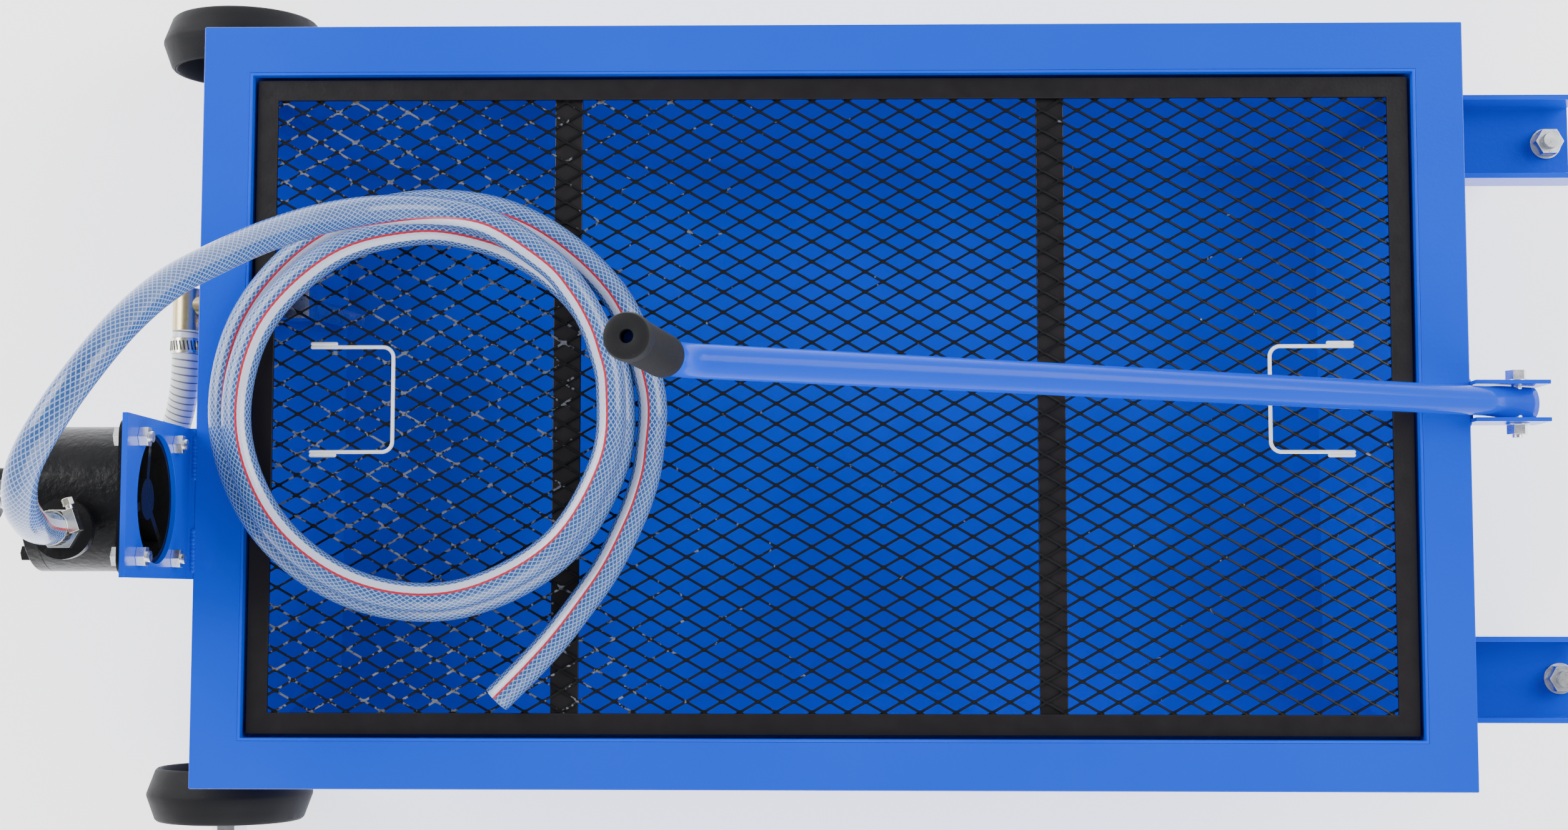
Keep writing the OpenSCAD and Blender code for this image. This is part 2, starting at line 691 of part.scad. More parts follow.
// ---- Hose fittings ----
module barb(l) {
  // A hose nipple along +Z: spigot in the port, hexagon collar and ribbed tail
  difference() {
    union() {
      translate([0, 0, -12]) cylinder(h = 12, d = hose_bore);
      hex(26, collar_t);
      translate([0, 0, collar_t]) cylinder(h = l, d = hose_bore - 1);
      for (i = [0:2]) translate([0, 0, collar_t + 3 + i * 7])
        rotate_extrude() polygon([[hose_bore / 2 - 2, 0], [hose_bore / 2, 0], [hose_bore / 2 - 0.5, 5],
                                  [hose_bore / 2 - 2, 5]]);
    }
    translate([0, 0, -12 - cut]) cylinder(h = l + collar_t + 12 + 2 * cut, d = hose_bore - 4);
  }
}

module clamp_band() {
  // A worm-drive band round a hose along +Z, with its screw housing on the +X side
  band_r = hose_d / 2 + run_fit;
  difference() {
    union() {
      cylinder(h = clamp_w, r = band_r + clamp_t);
      translate([band_r + 0.2, -8, 0.5]) cube([7, 16, clamp_w - 1]);
      translate([band_r + 4.2, 8, clamp_w / 2]) rotate([-90, 0, 0]) cylinder(h = 3, d = 5);
      translate([band_r + 4.2, 11, clamp_w / 2]) rotate([-90, 0, 0]) hex(7, 5);
    }
    translate([0, 0, -cut]) cylinder(h = clamp_w + 2 * cut, r = band_r);
  }
}

module outlet_barb() {
  color(zinc) translate([port_x, pump_y - port_dy, port_top]) barb(28);
}
module outlet_clamp() {
  color(zinc) translate([port_x, pump_y - port_dy, port_top + collar_t + clamp_in])
    rotate([0, 0, 20]) clamp_band();
}
module inlet_barb() {
  color(zinc) translate([port_x, pump_y + port_dy, port_low]) rotate([180, 0, 0]) barb(22);
}
module inlet_clamp() {
  color(zinc) translate([port_x, pump_y + port_dy, port_low - collar_t - 4]) rotate([180, 0, 90])
    clamp_band();
}

module tank_elbow() {
  color(yellow_zinc) difference() {
    union() {
      along_x(-bay_x + 16, elbow_y, elbow_z, -bay_x + 16 - elbow_x, 18);
      along_x(-pan_x, elbow_y, elbow_z, 8, 27);
      along_y(elbow_x, elbow_y + 13, elbow_z, 33, 22);
      along_y(elbow_x, elbow_y - 20, elbow_z, 24, hose_bore);
    }
    along_x(-bay_x + 16 + cut, elbow_y, elbow_z, -bay_x + 17 - elbow_x, 12);
    along_y(elbow_x, elbow_y, elbow_z, 50, 12);
  }
}

module elbow_locknut() {
  color(yellow_zinc) translate([-bay_x, elbow_y, elbow_z]) rotate([0, 90, 0]) difference() {
    hex(26, 5);
    translate([0, 0, -cut]) cylinder(h = 7, d = 18 + 2 * run_fit);
  }
}

module tank_clamp() {
  color(zinc) translate([elbow_x, 54, elbow_z]) rotate([90, 30, 0]) clamp_band();
}

module pickup_tube() {
  // Inside the pan: an elbow on the fitting and a tube down to just above the floor
  x = -bay_x + 16 + 11;
  lean = 163;
  long = 92;
  color(zinc) difference() {
    union() {
      translate([x - 11, elbow_y - 11, elbow_z - 11]) cube([22, 22, 22]);
      translate([x, elbow_y, elbow_z]) rotate([0, lean, 0]) cylinder(h = long, d = 16);
    }
    along_x(x + 3, elbow_y, elbow_z, 15, 12);
    translate([x, elbow_y, elbow_z]) rotate([0, lean, 0]) cylinder(h = long + cut, d = 11);
  }
}

module suction_hose() { color([0.75, 0.75, 0.75]) hose_tube(suction_route, hose_d); }
module hose_feed() { color(clear_hose) hose_tube(feed_route, hose_d); }
module hose_tail() { color(clear_hose) hose_tube(tail_route, hose_d); }

coil_in = 122;
coil_out = 172;
coil_h = 2 * hose_d;
coil_tilt = 1.5;
module hose_coil() {
  color(clear_hose) translate([-296, -3, -3.4]) rotate([0, coil_tilt, 0]) rotate_extrude()
    polygon([[coil_in + 4, 0], [coil_out - 4, 0], [coil_out, 4], [coil_out, coil_h - 6],
             [coil_out - 6, coil_h], [coil_in + 6, coil_h], [coil_in, coil_h - 6], [coil_in, 4]]);
}

// ---- Handle ----
module handle_clevis() {
  ear_low = -28;
  ear_top = 14;
  half = ear_gap / 2;
  color(blue) difference() {
    union() {
      for (s = [-1, 1]) translate([0, s * (half + ear_t / 2) + ear_t / 2, 0]) rotate([90, 0, 0])
        linear_extrude(ear_t) union() {
          translate([rim_l / 2, ear_low]) square([pivot_out + 10, -ear_low]);
          translate([pivot_x, ear_low]) square([20, -ear_low]);
          translate([rim_l / 2, -rim_t]) square([pivot_out + 20, ear_top + rim_t]);
        }
      translate([rim_l / 2, -half, ear_low]) cube([3, ear_gap, -ear_low - 4]);
    }
    along_y(pivot_x, half + ear_t + cut, pivot_z, ear_gap + 2 * (ear_t + cut), bolt_d + 2 * run_fit);
  }
}

module handle_bolt() {
  half = ear_gap / 2 + ear_t;
  color(zinc) {
    along_y(pivot_x, half + 2, pivot_z, 2 * half + 4 + 9, bolt_d);
    translate([pivot_x, half + 1.6, pivot_z]) rotate([-90, 0, 0]) hex(14, 7);
  }
}

module handle_nut() {
  half = ear_gap / 2 + ear_t;
  color(zinc) translate([pivot_x, -half - 1.6, pivot_z]) rotate([90, 0, 0]) difference() {
    hex(14, 7);
    translate([0, 0, -cut]) cylinder(h = 10, d = bolt_d + 2 * run_fit);
  }
}

module handle_washers() {
  half = ear_gap / 2 + ear_t;
  color(zinc) for (s = [-1, 1]) translate([pivot_x, s * (half + 0.8), pivot_z]) rotate([90, 0, 0])
    difference() {
      cylinder(h = 1.6, r = 9, center = true);
      cylinder(h = 4, d = bolt_d + 2 * run_fit, center = true);
    }
}

module handle_place() {
  // Local -X runs from the pivot along the tube, local +Z is its upper side
  translate([pivot_x, 0, pivot_z]) rotate([0, handle_rest, 0]) children();
}

module grip_end() {
  // The end of the bend, with local +Z along the grip
  translate([-tube_l - bend_r * sin(bend_a), 0, bend_r * (1 - cos(bend_a))])
    rotate([0, -(90 - bend_a), 0]) children();
}

module sleeve() {
  difference() {
    cylinder(h = 10, d = tube_d - tube_t, center = true);
    cylinder(h = 12, d = tube_d - 4 * tube_t, center = true);
  }
}

module handle_tube() {
  neck = 14;
  full = 32;
  stub = grip_l - 12;
  color(blue) handle_place() difference() {
    union() {
      translate([0, 0, -paddle_t / 2]) linear_extrude(paddle_t) union() {
        translate([5, 0]) circle(d = paddle_w);
        translate([-neck, -paddle_w / 2]) square([neck + 5, paddle_w]);
      }
      hull() {
        translate([-neck, -paddle_w / 2, -paddle_t / 2]) cube([0.2, paddle_w, paddle_t]);
        translate([-full, 0, 0]) rotate([0, -90, 0]) cylinder(h = 0.2, d = tube_d, $fn = 32);
      }
      difference() {
        translate([-full, 0, 0]) rotate([0, -90, 0]) cylinder(h = tube_l - full, d = tube_d);
        translate([-full - 20, 0, 0]) rotate([0, -90, 0]) cylinder(h = tube_l, d = tube_d - 2 * tube_t);
      }
      translate([-tube_l, 0, bend_r]) rotate([90, 0, 0]) rotate([0, 0, -90 - bend_a])
        rotate_extrude(angle = bend_a) translate([bend_r, 0]) difference() {
          circle(d = tube_d);
          circle(d = tube_d - 2 * tube_t);
        }
      grip_end() difference() {
        cylinder(h = stub, d = tube_d);
        translate([0, 0, -cut]) cylinder(h = stub + 2 * cut, d = tube_d - 2 * tube_t);
      }
      // Short sleeves inside the two joints of the bend
      translate([-tube_l, 0, 0]) rotate([0, -90, 0]) sleeve();
      grip_end() sleeve();
    }
    along_y(0, paddle_w / 2 + cut, 0, paddle_w + 2 * cut, bolt_d + 2 * run_fit);
  }
}

module handle_grip() {
  socket = grip_l - 12 + 0.2;
  color(black) handle_place() grip_end() rotate_extrude() polygon([
    [tube_d / 2 + run_fit, 2], [grip_d / 2 - 1, 2], [grip_d / 2, 3], [grip_d / 2, grip_l - 3],
    [grip_d / 2 - 2, grip_l], [4, grip_l], [4, socket], [tube_d / 2 + run_fit, socket]]);
}

at_floor() rim_frame();
at_floor() tank_walls();
at_floor() tank_sump();
at_floor() grille_ledge();
at_floor() grille_frame();
at_floor() grille_crossbars();
at_floor() expanded_mesh();
at_floor() bail_left();
at_floor() bail_right();
at_floor() axle_lugs();
at_floor() wheel_axle();
at_floor() wheel_back();
at_floor() wheel_front();
at_floor() wheel_washers();
at_floor() axle_nuts();
at_floor() caster_arm_back();
at_floor() caster_arm_front();
at_floor() caster_stems();
at_floor() caster_nuts();
at_floor() caster_fork_back();
at_floor() caster_fork_front();
at_floor() caster_wheel_back();
at_floor() caster_wheel_front();
at_floor() caster_axle_back();
at_floor() caster_axle_front();
at_floor() pump_bracket();
at_floor() pump_body();
at_floor() pump_cover();
at_floor() cover_bolts();
at_floor() mount_bolts();
at_floor() mount_nuts();
at_floor() pump_shaft();
at_floor() pump_rotor();
at_floor() pump_vanes();
at_floor() packing_nut();
at_floor() crank_arm();
at_floor() shaft_nut();
at_floor() crank_pin();
at_floor() crank_grip();
at_floor() outlet_barb();
at_floor() outlet_clamp();
at_floor() inlet_barb();
at_floor() inlet_clamp();
at_floor() tank_elbow();
at_floor() elbow_locknut();
at_floor() tank_clamp();
at_floor() pickup_tube();
at_floor() suction_hose();
at_floor() hose_feed();
at_floor() hose_coil();
at_floor() hose_tail();
at_floor() handle_clevis();
at_floor() handle_bolt();
at_floor() handle_nut();
at_floor() handle_washers();
at_floor() handle_tube();
at_floor() handle_grip();
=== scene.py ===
import math

import bmesh
import bpy
from mathutils import Matrix, Vector


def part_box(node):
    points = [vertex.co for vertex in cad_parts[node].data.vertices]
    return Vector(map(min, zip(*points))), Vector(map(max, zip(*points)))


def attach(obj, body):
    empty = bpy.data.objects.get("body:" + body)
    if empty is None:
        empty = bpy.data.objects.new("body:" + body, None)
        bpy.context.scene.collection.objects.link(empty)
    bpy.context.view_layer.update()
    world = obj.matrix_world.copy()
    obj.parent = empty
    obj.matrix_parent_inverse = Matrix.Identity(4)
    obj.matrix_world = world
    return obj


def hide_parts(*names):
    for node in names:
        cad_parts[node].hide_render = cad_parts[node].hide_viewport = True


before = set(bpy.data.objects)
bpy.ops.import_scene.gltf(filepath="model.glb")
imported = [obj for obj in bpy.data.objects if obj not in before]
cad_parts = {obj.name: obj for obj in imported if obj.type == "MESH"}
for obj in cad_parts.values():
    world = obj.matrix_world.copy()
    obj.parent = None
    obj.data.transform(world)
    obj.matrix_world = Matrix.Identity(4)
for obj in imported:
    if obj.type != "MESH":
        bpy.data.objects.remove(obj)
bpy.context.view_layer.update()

# ---- Camera, light and floor ----
# The tray stands on a plain white studio floor and is seen from almost straight above.
# Wide soft lights at its sides and a sky that is bright low down leave it nearly without shadows.
rim_low, rim_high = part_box("rim_frame")
middle = (rim_low.x + rim_high.x) / 2


def at(x, y, z):
    """A point given in millimetres from the middle of the rim's top face."""
    return Vector((middle + x / 1000, y / 1000, rim_high.z + z / 1000))


eye = bpy.data.cameras.new("eye")
eye.lens = 51.63
eye.sensor_width = 36
camera = bpy.data.objects.new("eye", eye)
camera.location = at(2, -146, 1689)
camera.rotation_euler = [math.radians(a) for a in (4.62, 1.23, 0.07)]
bpy.context.scene.collection.objects.link(camera)
bpy.context.scene.camera = camera

for name, place, size, power in [("window_left", (-2.3, 1.1, 1.9), 1.8, 95),
                                 ("window_right", (2.4, 0.9, 2.0), 1.8, 70),
                                 ("window_front", (0.3, -2.6, 1.7), 2.2, 60)]:
    lamp = bpy.data.lights.new(name, "AREA")
    lamp.size = size
    lamp.energy = power
    lamp_object = bpy.data.objects.new(name, lamp)
    lamp_object.location = place
    aim_at = Vector((0, 0, 0.1)) - Vector(place)
    lamp_object.rotation_euler = aim_at.to_track_quat("-Z", "Y").to_euler()
    bpy.context.scene.collection.objects.link(lamp_object)
sky = bpy.data.worlds.new("sky")
sky.use_nodes = True
backdrop = sky.node_tree.nodes["Background"]
backdrop.inputs["Color"].default_value = (0.95, 0.97, 1.0, 1)
direction = sky.node_tree.nodes.new("ShaderNodeSeparateXYZ")
outward = sky.node_tree.nodes.new("ShaderNodeTexCoord").outputs["Generated"]
sky.node_tree.links.new(outward, direction.inputs[0])
height = sky.node_tree.nodes.new("ShaderNodeMapRange")
for socket, value in (("From Min", 0.35), ("From Max", 0.9), ("To Min", 1.5), ("To Max", 0.3)):
    height.inputs[socket].default_value = value
sky.node_tree.links.new(direction.outputs[2], height.inputs["Value"])
sky.node_tree.links.new(height.outputs["Result"], backdrop.inputs["Strength"])
bpy.context.scene.world = sky


def finish(name, **plain):
    """A material with plain values on its own sockets, with its tree and shader."""
    material = bpy.data.materials.new(name)
    material.use_nodes = True
    shader = material.node_tree.nodes["Principled BSDF"]
    for socket, value in plain.items():
        shader.inputs[socket.replace("_", " ")].default_value = value
    return material, material.node_tree, shader


floor_mesh = bpy.data.meshes.new("floor")
floor_mesh.from_pydata([(-9, -9, 0), (9, -9, 0), (9, 9, 0), (-9, 9, 0)], [], [(0, 1, 2, 3)])
floor = bpy.data.objects.new("floor", floor_mesh)
bpy.context.scene.collection.objects.link(floor)
floor_mesh.materials.append(finish("white_floor", Base_Color=(0.93, 0.93, 0.94, 1), Roughness=0.8,
                                   Specular_IOR_Level=0.0, Emission_Color=(1, 1, 1, 1),
                                   Emission_Strength=1.4)[0])

# ---- Delivery hose ----
# A clear braided PVC hose of 16 mm bore and 22 mm outside. It arches from the pump's outlet to
# two and a quarter turns that lie on the grille, and its cut end stays bare.
hose_radius = 0.011
arch = [(-530, -100, 152), (-528, -101, 192), (-520, -98, 236), (-512, -87, 277), (-500, -66, 305),
        (-480, -36, 317), (-459, 0, 307), (-444, 31, 280), (-429, 58, 243), (-409, 81, 202),
        (-388, 102, 159), (-362, 120, 119), (-330, 132, 86), (-292, 136, 61), (-252, 129, 46)]
# Each turn point: degrees wound so far, radius and height over the lowest layer
turn_points = [(0, 139, 38), (36, 135, 28), (71.6, 134, 22), (161.6, 144, 21), (251.6, 146, 18),
               (341.6, 131, 12), (395, 133, 3), (431.6, 139, 0), (521.6, 151, 0), (611.6, 161, 0),
               (701.6, 154, 0), (791.6, 162, 0), (828, 172, 0)]
coil_middle = (-296, -3)
tail = [(-168, -126, 2.3), (-186, -152, 2.2), (-206, -178, 2), (-227, -201, 2), (-249, -223, 2)]


def curve_through(points, steps):
    """Points of a smooth line through the given ones, steps to each span."""
    p = [Vector(q) for q in points]
    p = [2 * p[0] - p[1]] + p + [2 * p[-1] - p[-2]]
    line = []
    for i in range(1, len(p) - 2):
        for k in range(steps):
            t = k / steps
            line.append(0.5 * (2 * p[i] + (p[i + 1] - p[i - 1]) * t
                               + (2 * p[i - 1] - 5 * p[i] + 4 * p[i + 1] - p[i + 2]) * t * t
                               + (3 * p[i] - p[i - 1] - 3 * p[i + 1] + p[i + 2]) * t ** 3))
    return line + [p[-2]]


def even(line, step):
    """The same line with points a fixed step apart."""
    out, left = [line[0]], step
    for a, b in zip(line, line[1:]):
        span = (b - a).length
        while span > left:
            a = a + (b - a) * (left / span)
            out.append(a)
            span = (b - a).length
            left = step
        left -= span
    if (out[-1] - line[-1]).length > step * 0.4:
        out.append(line[-1])
    else:
        out[-1] = line[-1]
    return out


turns = []
for wound, radius, lift in curve_through(turn_points, 12)[6:]:
    angle = math.radians(71.6 - wound)
    x = coil_middle[0] + radius * math.cos(angle)
    y = coil_middle[1] + radius * math.sin(angle)
    turns.append((x, y, 7.6 + lift - 0.0262 * (x - coil_middle[0])))
hose_line = even([at(*p) for p in curve_through(arch + turns[1::4] + tail, 8)], 0.0045)


def tube(name, line, radius, sides, bore=None, aim=None):
    """A smooth tube along a line, with UVs of metres along it and turns around it. If aim is given,
    it says for each point of the line which way the middle of the UV's turn faces."""
    last = len(line) - 1
    along = [(line[min(i + 1, last)] - line[max(i - 1, 0)]).normalized() for i in range(last + 1)]
    apart = Vector((0, 0, 1)) if abs(along[0].z) < 0.9 else Vector((0, 1, 0))
    side = along[0].cross(apart).normalized()
    mesh = bmesh.new()
    uv = mesh.loops.layers.uv.new("UVMap")
    rings, sides_of, run = [], [], 0.0
    distance, twist = [], []
    for i, centre in enumerate(line):
        side = (side - along[i] * side.dot(along[i])).normalized()
        other = along[i].cross(side)
        if i:
            run += (centre - line[i - 1]).length
        distance.append(run)
        sides_of.append((side.copy(), other.copy()))
        twist.append(0.5)
        if aim:
            face = aim(i, centre)
            angle = math.atan2(face.dot(other), face.dot(side)) / (2 * math.pi)
            twist[-1] = angle + round((twist[-2] if i else 0) - angle)
        rings.append([mesh.verts.new(centre + radius * (side * math.cos(2 * math.pi * k / sides)
                                                        + other * math.sin(2 * math.pi * k / sides)))
                      for k in range(sides)])
    for i in range(len(line) - 1):
        for k in range(sides):
            face = mesh.faces.new((rings[i][k], rings[i][(k + 1) % sides],
                                   rings[i + 1][(k + 1) % sides], rings[i + 1][k]))
            face.smooth = True
            for loop, (a, b) in zip(face.loops, ((i, k), (i, k + 1), (i + 1, k + 1), (i + 1, k))):
                loop[uv].uv = (distance[a], b / sides - twist[a] + 0.5)
    mesh.faces.new(list(reversed(rings[0])))
    if bore:
        # The cut end shows the wall and 30 mm of the bore
        inner = []
        for back in (0, 7):
            i = len(line) - 1 - back
            s, o = sides_of[i]
            inner.append([mesh.verts.new(line[i] + bore * (s * math.cos(2 * math.pi * k / sides)
                                                           + o * math.sin(2 * math.pi * k / sides)))
                          for k in range(sides)])
        for k in range(sides):
            n = (k + 1) % sides
            mesh.faces.new((rings[-1][k], rings[-1][n], inner[0][n], inner[0][k]))
            mesh.faces.new((inner[0][k], inner[0][n], inner[1][n], inner[1][k]))
        mesh.faces.new(inner[1])
    else:
        mesh.faces.new(rings[-1])
    data = bpy.data.meshes.new(name)
    mesh.to_mesh(data)
    mesh.free()
    piece = bpy.data.objects.new(name, data)
    bpy.context.scene.collection.objects.link(piece)
    return piece


def math_node(tree, operation, a, b=0.0, c=0.0):
    node = tree.nodes.new("ShaderNodeMath")
    node.operation = operation
    for socket, value in zip(node.inputs, (a, b, c)):
        if isinstance(value, (int, float)):
            socket.default_value = value
        else:
            tree.links.new(value, socket)
    return node.outputs[0]


def soft_step(tree, value, start, end):
    node = tree.nodes.new("ShaderNodeMapRange")
    node.interpolation_type = "SMOOTHSTEP"
    node.inputs["From Min"].default_value = start
    node.inputs["From Max"].default_value = end
    tree.links.new(value, node.inputs["Value"])
    return node.outputs["Result"]


def blend(tree, amount, a, b):
    """Colour a where amount is 0 and b where it is 1."""
    node = tree.nodes.new("ShaderNodeMix")
    node.data_type = "RGBA"
    sockets = [s for s in node.inputs if s.enabled]
    for socket, value in zip(sockets, (amount, a, b)):
        if isinstance(value, (int, float)):
            socket.default_value = value
        elif isinstance(value, tuple):
            socket.default_value = (*value, 1)
        else:
            tree.links.new(value, socket)
    return [s for s in node.outputs if s.enabled][0]


def noise(tree, scale, detail=3.0, roughness=0.5, stretch=None, seed=0.0):
    node = tree.nodes.new("ShaderNodeTexNoise")
    node.noise_dimensions = "4D"
    node.inputs["W"].default_value = seed
    node.inputs["Scale"].default_value = scale
    node.inputs["Detail"].default_value = detail
    node.inputs["Roughness"].default_value = roughness
    where = tree.nodes.new("ShaderNodeTexCoord").outputs["Object"]
    if stretch:
        mapping = tree.nodes.new("ShaderNodeMapping")
        mapping.inputs["Scale"].default_value = stretch
        tree.links.new(where, mapping.inputs["Vector"])
        where = mapping.outputs["Vector"]
    tree.links.new(where, node.inputs["Vector"])
    return node.outputs["Fac"]


def bump(tree, shader, height, depth, strength=1.0):
    node = tree.nodes.new("ShaderNodeBump")
    node.inputs["Strength"].default_value = strength
    node.inputs["Distance"].default_value = depth
    tree.links.new(height, node.inputs["Height"])
    tree.links.new(node.outputs["Normal"], shader.inputs["Normal"])


def set_colour(tree, shader, value):
    tree.links.new(value, shader.inputs["Base Color"])


def set_roughness(tree, shader, grain, span, base):
    """Roughness of base, with up to span more where grain is high."""
    tree.links.new(math_node(tree, "MULTIPLY_ADD", grain, span, base), shader.inputs["Roughness"])


def off_middle(tree, value):
    """How far value lies from the middle of its whole step, from 0 to 0.5."""
    part = math_node(tree, "FRACT", value)
    return math_node(tree, "ABSOLUTE", math_node(tree, "SUBTRACT", part, 0.5))


def length_and_turn(tree):
    """The two parts of a tube's UVs: metres along it, and turns around it."""
    split = tree.nodes.new("ShaderNodeSeparateXYZ")
    uv_map = tree.nodes.new("ShaderNodeUVMap")
    uv_map.uv_map = "UVMap"
    tree.links.new(uv_map.outputs["UV"], split.inputs[0])
    return split.outputs[0], split.outputs[1]


landing = min(range(len(hose_line)), key=lambda i: (hose_line[i] - at(*arch[-1])).length)
points_to_turn_under = 40
inward_share = 0.62


def stripe_way(i, centre):
    """The stripe lies on the top of the turns, towards their middle, and under the arch."""
    inward = at(*coil_middle, 0) - centre
    inward.z = 0
    rise = 1.0 if i > landing else 1.0 - 2.2 * min(1.0, (landing - i) / points_to_turn_under)
    return inward.normalized() * inward_share + Vector((0, 0, rise))


hose = tube("delivery_hose", hose_line, hose_radius, 32, bore=0.008, aim=stripe_way)

braided_pvc, tree, shader = finish("braided_pvc", Roughness=0.22, Coat_Weight=0.5, Coat_Roughness=0.06,
                                   IOR=1.45)
run, around = length_and_turn(tree)
yarns = None
yarns_each_way = 20
crossings_per_metre = 190
for turn in (yarns_each_way, -yarns_each_way):
    phase = math_node(tree, "ADD", math_node(tree, "MULTIPLY", run, crossings_per_metre),
                      math_node(tree, "MULTIPLY", around, turn))
    line = soft_step(tree, off_middle(tree, phase), 0.33, 0.43)
    yarns = line if yarns is None else math_node(tree, "MAXIMUM", yarns, line)
offset = off_middle(tree, around)
white_band = math_node(tree, "SUBTRACT", 1.0, soft_step(tree, offset, 0.040, 0.046))
red_line = math_node(tree, "MULTIPLY", soft_step(tree, offset, 0.042, 0.047),
                     math_node(tree, "SUBTRACT", 1.0, soft_step(tree, offset, 0.066, 0.070)))
one_side = math_node(tree, "LESS_THAN", math_node(tree, "FRACT", around), 0.5)
red_line = math_node(tree, "MULTIPLY", red_line, one_side)
wall = blend(tree, noise(tree, 38, 2), (0.010, 0.052, 0.21), (0.036, 0.110, 0.32))
wall = blend(tree, math_node(tree, "MULTIPLY", yarns, 0.75), wall, (0.31, 0.42, 0.70))
wall = blend(tree, math_node(tree, "MULTIPLY", white_band, 0.94), wall, (0.60, 0.63, 0.76))
wall = blend(tree, math_node(tree, "MULTIPLY", red_line, 0.95), wall, (0.50, 0.002, 0.012))
set_colour(tree, shader, wall)
bump(tree, shader, yarns, 0.0003, 0.35)
hose.data.materials.append(braided_pvc)
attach(hose, "tray")
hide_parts("hose_feed", "hose_coil", "hose_tail")

# ---- Blue pan, rim, arms and brackets ----
# Folded and welded steel sheet under one coat of glossy blue enamel, with broken edges. The coat
# has a slight orange peel, clouds of lighter and darker blue, and a few chips.
skin = bpy.data.node_groups.new("enamel_skin", "ShaderNodeTree")
skin.interface.new_socket("Peel Scale", in_out="INPUT", socket_type="NodeSocketFloat")
skin.interface.new_socket("Chips", in_out="INPUT", socket_type="NodeSocketFloat")
skin.interface.new_socket("Height", in_out="OUTPUT", socket_type="NodeSocketFloat")
skin.interface.new_socket("Cloud", in_out="OUTPUT", socket_type="NodeSocketFloat")
skin.interface.new_socket("Chip Mask", in_out="OUTPUT", socket_type="NodeSocketFloat")
given = skin.nodes.new("NodeGroupInput")
result = skin.nodes.new("NodeGroupOutput")
peel = skin.nodes.new("ShaderNodeTexNoise")
peel.inputs["Detail"].default_value = 2
where = skin.nodes.new("ShaderNodeTexCoord")
skin.links.new(where.outputs["Object"], peel.inputs["Vector"])
skin.links.new(given.outputs["Peel Scale"], peel.inputs["Scale"])
skin.links.new(peel.outputs["Fac"], result.inputs["Height"])
skin.links.new(noise(skin, 5, 4, 0.6), result.inputs["Cloud"])
spots = noise(skin, 210, 3, 0.65, seed=4)
chips = math_node(skin, "GREATER_THAN", spots, math_node(skin, "SUBTRACT", 0.83, given.outputs["Chips"]))
skin.links.new(chips, result.inputs["Chip Mask"])


def enamel(name, colour, shade, peel_scale=260, chips=0.0, depth=0.00012, gloss=0.2):
    material, tree, shader = finish(name, Coat_Weight=0.06, Coat_Roughness=0.05, Specular_IOR_Level=0.12)
    group = tree.nodes.new("ShaderNodeGroup")
    group.node_tree = skin
    group.inputs["Peel Scale"].default_value = peel_scale
    group.inputs["Chips"].default_value = chips
    body = blend(tree, group.outputs["Cloud"], colour, shade)
    chipped = blend(tree, group.outputs["Chip Mask"], body, (0.55, 0.58, 0.62))
    set_colour(tree, shader, chipped)
    set_roughness(tree, shader, group.outputs["Cloud"], 0.1, gloss - 0.04)
    bump(tree, shader, group.outputs["Height"], depth)
    return material


blue_enamel = enamel("blue_enamel", (0.0, 0.052, 0.58), (0.0, 0.068, 0.68), chips=0.0)
pan_enamel = enamel("pan_enamel", (0.0, 0.034, 0.52), (0.0, 0.095, 0.90), peel_scale=60,
                    depth=0.0005, gloss=0.26)


def dress(name, material, edge=0.0003, angle=35, flat=False):
    """A CAD node keeps its shape. It is welded, its edges are broken and it gets its material.
    A flat node is all plane faces, and each is made one face before its edges are broken."""
    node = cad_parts[name]
    if "custom_normal" in node.data.attributes:
        node.data.attributes.remove(node.data.attributes["custom_normal"])
    node.data.materials.clear()
    node.data.materials.append(material)
    for face in node.data.polygons:
        face.material_index = 0
        face.use_smooth = not flat
    weld = node.modifiers.new("weld", "WELD")
    weld.merge_threshold = 0.000002
    if flat:
        plain = node.modifiers.new("planes", "DECIMATE")
        plain.decimate_type = "DISSOLVE"
        plain.angle_limit = math.radians(1)
    if edge:
        bevel = node.modifiers.new("edges", "BEVEL")
        bevel.width = edge
        bevel.segments = 2
        bevel.limit_method = "ANGLE"
        bevel.angle_limit = math.radians(angle)
        bevel.harden_normals = not flat
        bevel.use_clamp_overlap = True


for name, edge in [("rim_frame", 0.0009), ("axle_lugs", 0.0004), ("caster_arm_back", 0.0008),
                   ("caster_arm_front", 0.0008), ("pump_bracket", 0.0005), ("handle_clevis", 0.0005)]:
    dress(name, blue_enamel, edge, flat=True)
for name in ("tank_walls", "tank_sump", "grille_ledge"):
    dress(name, pan_enamel, 0.0005, flat=True)

# ---- Weld beads ----
# Short beads of weld join the arms, the clevis and the bracket's foot to the rim's skirt, and
# the rim's four corners are ground mitres. They are painted over with the same blue enamel.


def weld_bead(name, start, end, width=0.0045):
    """A bead of overlapping scales between two points."""
    start, end = at(*start), at(*end)
    along = end - start
    count = max(3, int(along.length / 0.0028))
    mesh = bmesh.new()
    for i in range(count):
        place = Matrix.Translation(start + along * ((i + 0.5) / count))
        turn = along.to_track_quat("X", "Z").to_matrix().to_4x4()
        size = Matrix.Diagonal((0.0026, width / 2, 0.0016 + 0.0002 * (i % 3), 1))
        bmesh.ops.create_uvsphere(mesh, u_segments=10, v_segments=6, radius=1,
                                  matrix=place @ turn @ size)
    for face in mesh.faces:
        face.smooth = True
    data = bpy.data.meshes.new(name)
    mesh.to_mesh(data)
    mesh.free()
    data.materials.append(blue_enamel)
    piece = bpy.data.objects.new(name, data)
    bpy.context.scene.collection.objects.link(piece)
    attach(piece, "tray")


